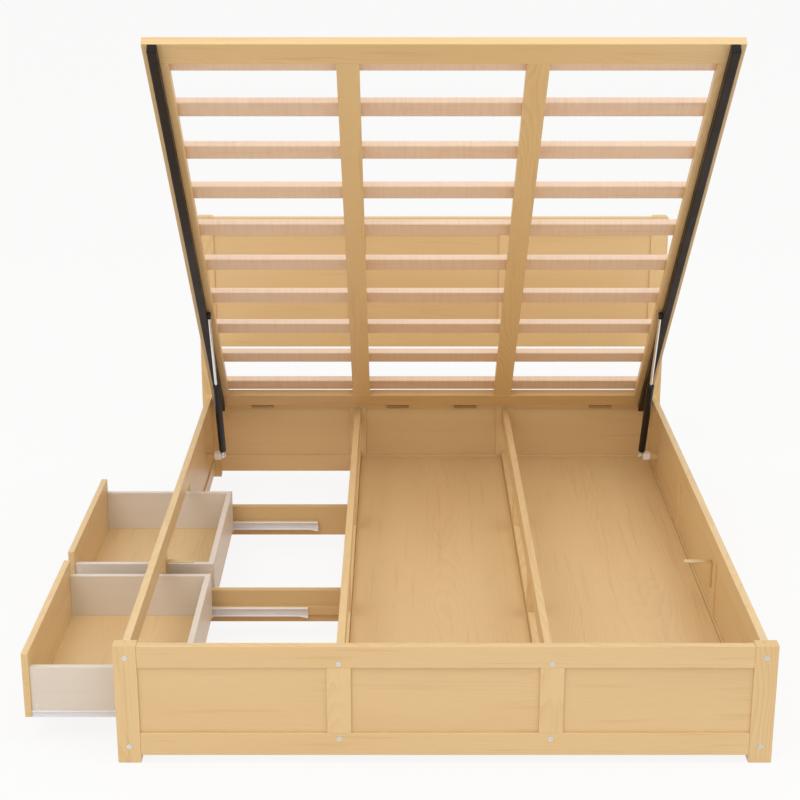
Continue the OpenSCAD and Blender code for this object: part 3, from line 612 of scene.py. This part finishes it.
# ---------------------------------------------------------------- rail screws
# Long countersunk screws, driven down into the side rails, the dividers and the foot rail, with
# their heads flush and a cross recess in each.
cross_w, cross_reach, cross_deep = 0.9, 2.6, 1.1
crosses = []
for low, high in solid_boxes("rail_screws"):
    top = Vector(((low.x + high.x) / 2, (low.y + high.y) / 2, high.z))
    for x, y in ((cross_w / 2, cross_reach), (cross_reach, cross_w / 2)):
        half = Vector((x, y, cross_deep)) * MM
        crosses.append(block(top - half, top + half))
screws = combine(copy_of("rail_screws", "rail_screws_plated"), crosses)
round_edges(screws, 0.2, shortest=0.2, steps=2)
put_on(screws, zinc, "bed_box", "zinc_steel", "rail_screws")

# ---------------------------------------------------------------- cross boards and packers
# Boards of pine, left bare and set darker in colour as painted shade, from the left wall to the divider,
# with packing strips that bring the slides to the drawers.
# Painted shade: this pine's colour is darker than the other pine, standing for the shade that falls on these
# boards.
bare_pine_painted_shade = timber("bare_pine_painted_shade", srgb(209, 179, 128), srgb(168, 119, 64), rings=0.24, streaks=0.22, coat=0)
for node, ease, seed in (("drawer_cross_boards", 1.2, 70), ("slide_packers", 0.6, 71)):
    board(node, node + "_timber", bare_pine_painted_shade, "bed_box", "pine", ACROSS, ease=ease, seed=seed)

# ---------------------------------------------------------------- slide channels
# Cabinet halves of the drawer slides: channels folded from sheet steel with a pale coat, screwed to
# the packers. A nylon roller turns on an axle at the front end of each.


def take_out(piece, name, belongs):
    """Moves the solids of a piece that belong elsewhere, by their corners, to a piece of their own."""
    mesh = piece.data
    chosen = []
    for solid in solids_in(mesh):
        if belongs(*corners_of([mesh.vertices[index].co[:] for index in solid])):
            chosen += solid
    only(piece)
    bpy.ops.object.mode_set(mode="EDIT")
    bpy.ops.mesh.select_mode(type="VERT")
    bpy.ops.mesh.select_all(action="DESELECT")
    shape = bmesh.from_edit_mesh(mesh)
    shape.verts.ensure_lookup_table()
    for index in chosen:
        shape.verts[index].select_set(True)
    shape.select_flush(True)
    bmesh.update_edit_mesh(mesh)
    bpy.ops.mesh.separate(type="SELECTED")
    bpy.ops.object.mode_set(mode="OBJECT")
    taken = next(other for other in bpy.context.selected_objects if other != piece)
    taken.name = name
    return taken


skew_line = Vector((1.0, 1.7, 3.1))


def fix_order(piece):
    """Orders the faces of a mesh in edit mode along a skew line. Extruding leaves them in a chance order."""
    shape = bmesh.from_edit_mesh(piece.data)
    shape.faces.sort(key=lambda face: face.calc_center_median().dot(skew_line))
    bmesh.update_edit_mesh(piece.data)


def turned(outline, sides=24):
    """A solid turned about Z at the origin. Its outline is radius and height in mm, from the bottom."""
    (radius, height), *rest = outline
    bpy.ops.object.select_all(action="DESELECT")
    bpy.ops.mesh.primitive_circle_add(vertices=sides, radius=radius * MM, fill_type="NGON",
                                      location=(0, 0, height * MM))
    bpy.ops.object.transform_apply(location=True, rotation=True, scale=True)
    bpy.ops.object.mode_set(mode="EDIT")
    bpy.ops.mesh.select_mode(type="FACE")
    bpy.ops.mesh.select_all(action="SELECT")
    for next_radius, next_height in rest:
        rise = (0, 0, (next_height - height) * MM)
        grow = next_radius / radius
        bpy.ops.mesh.extrude_region_move(TRANSFORM_OT_translate={"value": rise})
        bpy.ops.transform.resize(value=(grow, grow, 1), center_override=(0, 0, 0))
        radius, height = next_radius, next_height
    bpy.ops.mesh.select_all(action="SELECT")
    bpy.ops.mesh.normals_make_consistent(inside=False)
    bpy.ops.mesh.select_mode(type="VERT")
    fix_order(bpy.context.object)
    bpy.ops.object.mode_set(mode="OBJECT")
    return bpy.context.object


def set_in(piece, place, way):
    """Moves a piece made upright at the origin to its place, and turns its top to face a way."""
    piece.location = place
    piece.rotation_euler = Vector((0, 0, 1)).rotation_difference(Vector(way)).to_euler()
    only(piece)
    bpy.ops.object.transform_apply(location=True, rotation=True, scale=True)
    return piece


def set_out(pattern, name, spots):
    """Copies a pattern made upright at the origin to each place, facing each way, as one piece."""
    copies = []
    for place, way in spots:
        copy = pattern.copy()
        copy.data = pattern.data.copy()
        bpy.context.scene.collection.objects.link(copy)
        copies.append(set_in(copy, place, way))
    bpy.data.objects.remove(pattern)
    only(*copies)
    bpy.ops.object.join()
    copies[0].name = name
    return smooth(copies[0])


def screw_head(radius, rise):
    """The head of a countersunk screw that stands a little proud, with a cross recess. In mm."""
    head = turned(((radius * 0.5, -radius * 0.6), (radius, -0.1), (radius, rise * 0.4),
                   (radius * 0.86, rise * 0.85), (radius * 0.5, rise)))
    arm, thin, deep = radius * 0.6 * MM, radius * 0.11 * MM, radius * 0.3 * MM
    return combine(head, [block((-x, -y, rise * MM - deep), (x, y, rise * MM + MM))
                          for x, y in ((arm, thin), (thin, arm))])


slide_coat = worked("slide_coat", srgb(232, 234, 238), srgb(216, 218, 222), gloss=0.6, metallic=0.0,
                    mottle=0.2, grit=0.3)
nylon = worked("nylon", srgb(238, 236, 230), srgb(224, 221, 214), gloss=0.58, metallic=0.0, scratches=0.0)
sheet, longest_roller, hair = 1.2 * MM, 30 * MM, 0.1 * MM
flare_l, flare_drop = 26 * MM, 6 * MM
screw_drop, screws_from_front, screw_from_back = 12 * MM, (40 * MM, 190 * MM), 60 * MM


def is_roller(low, high):
    """Whether a solid is a roller, and not the rail that carries it."""
    return high.x - low.x < longest_roller


channels = copy_of("slide_channels", "slide_channels_steel")
rollers = round_edges(take_out(channels, "channel_rollers", is_roller), 0.9, shortest=0.2)
rail_boxes = [box for box in solid_boxes("slide_channels") if not is_roller(*box)]
channel_end = rail_boxes[0][1].x
flange_z = rail_boxes[0][0].z + flare_drop
only(channels)
bpy.ops.object.mode_set(mode="EDIT")
bpy.ops.mesh.select_all(action="SELECT")
bpy.ops.mesh.bisect(plane_co=(channel_end - flare_l, 0, 0), plane_no=(1, 0, 0))
bpy.ops.mesh.select_all(action="DESELECT")
shape = bmesh.from_edit_mesh(channels.data)
for vertex in shape.verts:
    at_end = vertex.co.x > channel_end - hair
    vertex.select_set(at_end and flange_z - hair < vertex.co.z < flange_z + sheet + hair)
bmesh.update_edit_mesh(channels.data)
bpy.ops.transform.translate(value=(0, 0, -flare_drop))
bpy.ops.mesh.select_all(action="SELECT")
bpy.ops.mesh.remove_doubles(threshold=weld)
bpy.ops.object.mode_set(mode="OBJECT")
round_edges(channels, 0.35, shortest=3, steps=2)
put_on(channels, slide_coat, "bed_box", "slide_steel", "slide_channels")
put_on(rollers, nylon, "bed_box", "slide_steel", "slide_channels")
spots = []
for number, (low, high) in enumerate(rail_boxes):
    facing, web_y = (-1, high.y - sheet) if number % 2 else (1, low.y + sheet)
    for x in (*(low.x + gap for gap in screws_from_front), high.x - screw_from_back):
        spots.append(((x, web_y, high.z - screw_drop), (0, facing, 0)))
put_on(set_out(screw_head(3.2, 0.5), "channel_screws", spots), zinc, "bed_box", "zinc_steel")

# ---------------------------------------------------------------- support brackets
# Two folded steel brackets on the side walls, which the platform's bars come down to. Each is a strip
# bent to a right angle, with rounded corners on its free ends, and screwed to the wall.
bracket_low, bracket_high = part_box("support_brackets")
bracket_t, bracket_screws_z, same = 3 * MM, (177, 207), 1e-4
wall_reach = bracket_high[0] - bed_middle


def on_line(edge, reach, height):
    """Whether an edge runs lengthways at that distance from the bed's middle, and that height."""
    a, b = (vertex.co for vertex in edge.verts)
    middle = (a + b) / 2
    return (abs(abs(middle.x - bed_middle) - reach) < same and abs(middle.z - height) < same
            and abs(a.y - b.y) > 10 * MM)


brackets = copy_of("support_brackets", "support_brackets_steel")
round_edges(brackets, 4.5, steps=5, chosen=lambda edge: on_line(edge, wall_reach, bracket_high[2]))
round_edges(brackets, 1.5,
            chosen=lambda edge: on_line(edge, wall_reach - bracket_t, bracket_high[2] - bracket_t))
round_edges(brackets, 4, shortest=2, steps=4,
            chosen=lambda edge: abs(edge.calc_length() - bracket_t) < same)
round_edges(brackets, 0.5, shortest=0.5, steps=2)
bracket_zinc = worked("bracket_zinc", srgb(226, 205, 160), srgb(196, 170, 122), gloss=0.62, metallic=0.8,
                      grit=0.3)
put_on(brackets, bracket_zinc, "bed_box", "zinc_steel", "support_brackets")
bracket_y = (bracket_low[1] + bracket_high[1]) / 2
spots = [((bed_middle + side * (wall_reach - bracket_t), bracket_y, height * MM), (-side, 0, 0))
         for side in (-1, 1) for height in bracket_screws_z]
put_on(set_out(screw_head(4.0, 0.8), "bracket_screws", spots), zinc, "bed_box", "zinc_steel")

# ---------------------------------------------------------------- strut blocks
# Cast zinc blocks screwed through pine pads to the side walls. The struts turn on their pins, each
# held by a washer.
block_zinc = worked("block_zinc", srgb(252, 252, 252), srgb(240, 240, 240), gloss=0.5, metallic=0.0, grit=0.5,
                    scratches=0.1)
strut_blocks = copy_of("strut_mount_blocks", "strut_blocks_cast")
round_edges(strut_blocks, 1.6, shortest=12)
round_edges(strut_blocks, 0.3, shortest=0.3, steps=2, chosen=lambda edge: edge.calc_length() < 1.2 * MM)
put_on(strut_blocks, block_zinc, "bed_box", "slide_steel", "strut_mount_blocks")
joints = {joint["name"]: joint for joint in frame["joints"]}
pivot = {side: Vector(joints[side + "_strut_pivot"]["pos_m"]) for side in ("left", "right")}
block_face, block_screws_y = 730.6 * MM, (-11.4, 11.4)
spots = []
for side, foot in pivot.items():
    inward = 1 if side == "left" else -1
    for y in block_screws_y:
        spots.append(((bed_middle - inward * block_face, foot.y + y * MM, foot.z), (inward, 0, 0)))
put_on(set_out(screw_head(2.4, 0.25), "strut_block_screws", spots), zinc, "bed_box", "zinc_steel")

# ---------------------------------------------------------------- hinges, fixed leaves and pins
# Four butt hinges in antique brass along the head. The fixed leaves are screwed to the head frame, and a
# pin with a button head goes through the knuckles of each.
brass = worked("antique_brass", (0.48, 0.33, 0.17, 1), (0.33, 0.22, 0.11, 1), gloss=0.5, metallic=0.4,
               grit=0.3, scratches=0.3)
fixed_screws_x, fixed_screw_drop = (-28, 0, 28), 12 * MM
fixed_leaves = copy_of("hinge_fixed_leaves", "hinge_fixed_leaves_brass")
round_edges(fixed_leaves, 0.5, shortest=4, steps=2)
put_on(fixed_leaves, brass, "bed_box", "hinge_brass", "hinge_fixed_leaves")
leaf_boxes = solid_boxes("hinge_fixed_leaves")
leaf_t = 2.5 * MM
spots = [(((low.x + high.x) / 2 + x * MM, high.y - leaf_t, high.z - fixed_screw_drop), (0, -1, 0))
         for low, high in leaf_boxes for x in fixed_screws_x]
put_on(set_out(screw_head(3.4, 0.3), "fixed_leaf_screws", spots), brass, "bed_box", "hinge_brass")
pins = round_edges(copy_of("hinge_pins", "hinge_pins_steel"), 0.4, shortest=0.2, steps=2)
put_on(pins, zinc, "bed_box", "zinc_steel", "hinge_pins")

# ---------------------------------------------------------------- raised platform
# A flat pine frame of a foot rail, a head rail, two side rails and two middle rails. It is hinged along
# the head and shown raised.
lift_angle = math.radians(46.25)
UP_THE_LIFT = (0, -math.cos(lift_angle), math.sin(lift_angle))
for node, along in (("lift_foot_rail", ACROSS), ("lift_head_rail", ACROSS),
                    ("lift_side_rails", UP_THE_LIFT), ("lift_mid_rails", UP_THE_LIFT)):
    board(node, node + "_timber", pine, "lift_frame", "pine", along, ease=1.5, seed=80)

# ---------------------------------------------------------------- hinges, moving leaves
# The other leaves of the butt hinges, on the end of the platform's head rail. What is screwed to the
# platform is set out on it lying flat, and then raised with it.
hinge = Vector(joints["lift_hinge"]["pos_m"])
raised = Matrix.Translation(hinge) @ Matrix.Rotation(-lift_angle, 4, "X") @ Matrix.Translation(-hinge)
moving_screws_x, moving_screw_rise = (-30, 30), 7 * MM


def lying_boxes(node):
    """The corners of a platform node's solids when the platform lies flat."""
    return solid_boxes(node, raised.inverted())


def raise_up(piece):
    """Raises a piece that was made on the platform lying flat."""
    piece.matrix_world = raised
    only(piece)
    bpy.ops.object.transform_apply(location=True, rotation=True, scale=True)
    return piece


moving_leaves = copy_of("hinge_moving_leaves", "hinge_moving_leaves_brass")
round_edges(moving_leaves, 0.5, shortest=4, steps=2)
put_on(moving_leaves, brass, "lift_frame", "hinge_brass", "hinge_moving_leaves")
rail_end = max(high.y for low, high in lying_boxes("lift_head_rail"))
spots = [(((low.x + high.x) / 2 + x * MM, rail_end + leaf_t, hinge.z + moving_screw_rise), (0, 1, 0))
         for low, high in leaf_boxes for x in moving_screws_x]
moving_leaf_screws = raise_up(set_out(screw_head(3.4, 0.3), "moving_leaf_screws", spots))
put_on(moving_leaf_screws, brass, "lift_frame", "hinge_brass")

# ---------------------------------------------------------------- slats
# Ten planed slats, paler and left bare, with rounded long edges, each screwed down to the side rails
# and the middle rails.
slat_wood = timber("slat_wood", srgb(234, 210, 187), srgb(198, 156, 124), gap=5, rings=0.12, streaks=0.2,
                   flecks=0.55, coat=0)
slat_screws_x = (-728, -247, 247, 728)
board("slats", "slats_timber", slat_wood, "lift_frame", "beech_slat", ACROSS, ease=3.0, seed=90)
spots = [((bed_middle + x * MM, (low.y + high.y) / 2, high.z), UPRIGHT)
         for low, high in lying_boxes("slats") for x in slat_screws_x]
slat_screws = raise_up(set_out(screw_head(3.8, 0.3), "slat_screws", spots))
put_on(slat_screws, zinc, "lift_frame", "zinc_steel")

# ---------------------------------------------------------------- steel bars
# Two square steel tubes under the side rails, painted satin black, which the struts push up. Their black is
# tinted brown as a painted reflection of the wood around them. Black plastic plugs close their ends.
# Painted reflection: the black is tinted brown, standing for the wood that the satin paint reflects.
satin_black_with_painted_reflection = worked("satin_black_with_painted_reflection", srgb(39, 29, 22), srgb(30, 23, 18), gloss=0.58, metallic=0.0, grit=0.9,
                     scratches=0.05, bump=0.2, specular=0.25)
plug_plastic = worked("plug_plastic", srgb(24, 20, 17), srgb(18, 15, 13), gloss=0.45, metallic=0.0, grit=0.5,
                      specular=0.2)
plug_t, corner_r, plug_gap, inset = 3 * MM, 3.0, 0.1 * MM, 0.25 * MM
tubes, plugs = [], []
for low, high in lying_boxes("steel_bars")[::2]:
    tube = block((low.x, low.y + plug_t + plug_gap, low.z), (high.x, high.y - plug_t - plug_gap, high.z))
    round_edges(tube, corner_r, shortest=1000, steps=4)
    round_edges(tube, 0.3, shortest=0.3, steps=1)
    tubes.append(tube)
    for near, far in ((low.y, low.y + plug_t), (high.y, high.y - plug_t)):
        plug = block((low.x + inset, min(near, far), low.z + inset),
                     (high.x - inset, max(near, far), high.z - inset))
        round_edges(plug, corner_r, shortest=2, steps=4, chosen=lambda edge: edge.calc_length() < 4 * MM)
        round_edges(plug, 0.9, shortest=0.2, steps=3,
                    chosen=lambda edge: all(abs(vertex.co.y - near) < weld for vertex in edge.verts))
        plugs.append(plug)
for group, name, material in ((tubes, "steel_bars_tube", satin_black_with_painted_reflection),
                              (plugs, "steel_bar_plugs", plug_plastic)):
    only(*group)
    bpy.ops.object.join()
    group[0].name = name
    put_on(smooth(raise_up(group[0])), material, "lift_frame", "black_steel", "steel_bars")

# ---------------------------------------------------------------- gas struts
# Two gas struts. Each has a black cylinder with a rolled end, a chromed rod, a zinc-plated eye at its
# foot that turns on the block's pin, and a black eye at its head, whose stud is beside the bar.
strut_way = {side: Vector(joints[side + "_strut_slide"]["axis"]) for side in ("left", "right")}
strut_paint = worked("strut_paint", srgb(27, 23, 20), srgb(20, 18, 16), gloss=0.66, metallic=0.0, grit=0.5,
                     specular=0.3)
strut_zinc = worked("strut_zinc", srgb(226, 224, 221), srgb(188, 186, 183), gloss=0.7, grit=0.3,
                    scratches=0.15)
chrome = worked("chrome", (0.83, 0.83, 0.84, 1), (0.76, 0.76, 0.77, 1), gloss=0.88, mottle=0.3, grit=0.02,
                scratches=0.08, turn=(0, 90, 0))
gas_foot, gas_top, gas_r, rod_r = 23, 335, 12, 4.5
bore_foot, bore_top, bore_r, rod_bore_r = 63, 325, 10.5, 4.58
piston_foot, piston_top, piston_r, strut_l = 275, 287, 10.42, 648.48
eye_r, eye_t, pin_hole_r = 8, 10, 4.08
tube_outline = ((4.2, gas_foot), (9.6, gas_foot), (11.2, gas_foot + 1.2), (gas_r, gas_foot + 3.5),
                (gas_r, gas_top - 7), (11.2, gas_top - 6.2), (11.2, gas_top - 5.4), (gas_r, gas_top - 4.6),
                (gas_r, gas_top - 3), (11.2, gas_top - 1), (9.4, gas_top), (rod_bore_r, gas_top),
                (rod_bore_r, bore_top), (bore_r, bore_top), (bore_r, bore_foot))
rod_outline = ((8, piston_foot), (piston_r, piston_foot + 1), (piston_r, piston_foot + 4),
               (9, piston_foot + 4.6), (9, piston_top - 4.6), (piston_r, piston_top - 4),
               (piston_r, piston_top - 1), (8, piston_top), (rod_r, piston_top), (rod_r, strut_l - 17))
foot_neck = ((3.2, 5), (4, 9), (4, 14), (4, 16), (6.2, 16.4), (6.4, 17), (6.4, 21.6), (6.0, gas_foot))
head_neck = ((3.2, 5), (4, 9), (4, 10.5), (5.6, 11), (5.8, 11.8), (5.8, 16.8), (5.2, 17.4))
stud_outline = ((3.4, 4.6), (4, 4.9), (4, 5.4))
button_outline = ((5.2, 4.6), (5.2, 5.6), (4.4, 6.3), (2.6, 6.8))


def eye(neck_outline, hole):
    """A forged eye across X at the origin, with a turned neck that goes up from it."""
    ring = prism(40, eye_r, eye_t, (0, 0, 0), ACROSS)
    round_edges(ring, 1.2, shortest=0.2)
    combine(ring, [turned(neck_outline)], "UNION")
    if hole:
        combine(ring, [prism(40, pin_hole_r, 2 * eye_t, (0, 0, 0), ACROSS)])
    return ring


for side, way in strut_way.items():
    foot, head = pivot[side], pivot[side] + way * strut_l * MM
    cylinder = turned(tube_outline, sides=40)
    smooth(set_in(cylinder, foot, way))
    cylinder.name = f"gas_cylinder_{side}_tube"
    put_on(cylinder, strut_paint, "gas_strut_" + side, "black_steel", "gas_cylinder_" + side)
    foot_eye = eye(foot_neck, hole=True)
    smooth(set_in(foot_eye, foot, way))
    foot_eye.name = f"gas_cylinder_{side}_eye"
    put_on(foot_eye, strut_zinc, "gas_strut_" + side, "zinc_steel", "gas_cylinder_" + side)
    rod = turned(rod_outline, sides=32)
    smooth(set_in(rod, foot, way))
    rod.name = f"piston_rod_{side}_chromed"
    put_on(rod, chrome, "strut_rod_" + side, "chrome_rod", "piston_rod_" + side)
    head_eye = eye(head_neck, hole=False)
    outward = -1 if side == "left" else 1
    stud = set_in(turned(stud_outline), (0, 0, 0), (outward, 0, 0))
    button = set_in(turned(button_outline), (0, 0, 0), (-outward, 0, 0))
    combine(head_eye, [stud, button], "UNION")
    smooth(set_in(head_eye, head, -way))
    head_eye.name = f"piston_rod_{side}_eye"
    put_on(head_eye, strut_paint, "strut_rod_" + side, "black_steel", "piston_rod_" + side)

# ---------------------------------------------------------------- drawers
# Each drawer has a pine front on a box of pale foil-faced board with a thin pine-faced bottom, screwed
# together at its corners. Coated steel runners are fixed under its sides, with a roller at the back, and
# their webs stop a hair above the sill.
drawer_foil = timber("drawer_foil", srgb(220, 211, 199), srgb(190, 176, 159), gap=11, rings=0.1, streaks=0.14,
                     fibres=0.12, coat=0)
cap_plastic = worked("cap_plastic", srgb(236, 233, 228), srgb(220, 216, 210), gloss=0.55, metallic=0.0,
                     mottle=0.2)
sill_room, groove_back, groove_out = 0.6 * MM, 0.5 * MM, 4 * MM
groove_from, groove_to, groove_low, groove_high = 8.5 * MM, 71 * MM, 9.6 * MM, 12.4 * MM
front_screws_in, back_screws_in, screws_z = 13 * MM, 8.4 * MM, (0.1045, 0.193)
for number, drawer in enumerate(("front_drawer", "back_drawer")):
    for part, kind, material, slot, along, ease, seed in (
            ("_front", "_timber", pine, "pine", LENGTHWAYS, 2.0, 100),
            ("_sides", "_board", drawer_foil, "drawer_board", ACROSS, 0.8, 102),
            ("_back", "_board", drawer_foil, "drawer_board", LENGTHWAYS, 0.8, 104),
            ("_bottom", "_board", pine_panel, "pine_panel", LENGTHWAYS, 0.4, 106)):
        board(drawer + part, drawer + part + kind, material, drawer, slot, along, ease, seed + number)
    runners = copy_of(drawer + "_runners", drawer + "_runners_steel")
    wheels = round_edges(take_out(runners, drawer + "_rollers", is_roller), 1.2, shortest=0.2)
    low, high = (Vector(corner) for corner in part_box(drawer + "_runners"))
    side_low, side_high = (Vector(corner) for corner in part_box(drawer + "_sides"))
    only(runners)
    bpy.ops.object.mode_set(mode="EDIT")
    bpy.ops.mesh.select_all(action="SELECT")
    bpy.ops.mesh.bisect(plane_co=(0, 0, low.z + sill_room), plane_no=(0, 0, -1), use_fill=True,
                        clear_outer=True)
    bpy.ops.object.mode_set(mode="OBJECT")
    combine(runners, [block((side_low.x + groove_from, min(y, y + out), low.z + groove_low),
                            (side_low.x + groove_to, max(y, y + out), low.z + groove_high))
                      for y, out in ((side_low.y - groove_back, -groove_out),
                                     (side_high.y + groove_back, groove_out))])
    round_edges(runners, 0.3, shortest=2, steps=2)
    put_on(runners, slide_coat, drawer, "slide_steel", drawer + "_runners")
    put_on(wheels, nylon, drawer, "slide_steel", drawer + "_runners")
    spots = [((x, y, z), (0, facing, 0))
             for x in (side_low.x + front_screws_in, side_high.x - back_screws_in)
             for y, facing in ((side_low.y, -1), (side_high.y, 1)) for z in screws_z]
    put_on(set_out(screw_head(2.8, 0.4), drawer + "_screws", spots), cap_plastic, drawer, "slide_steel")
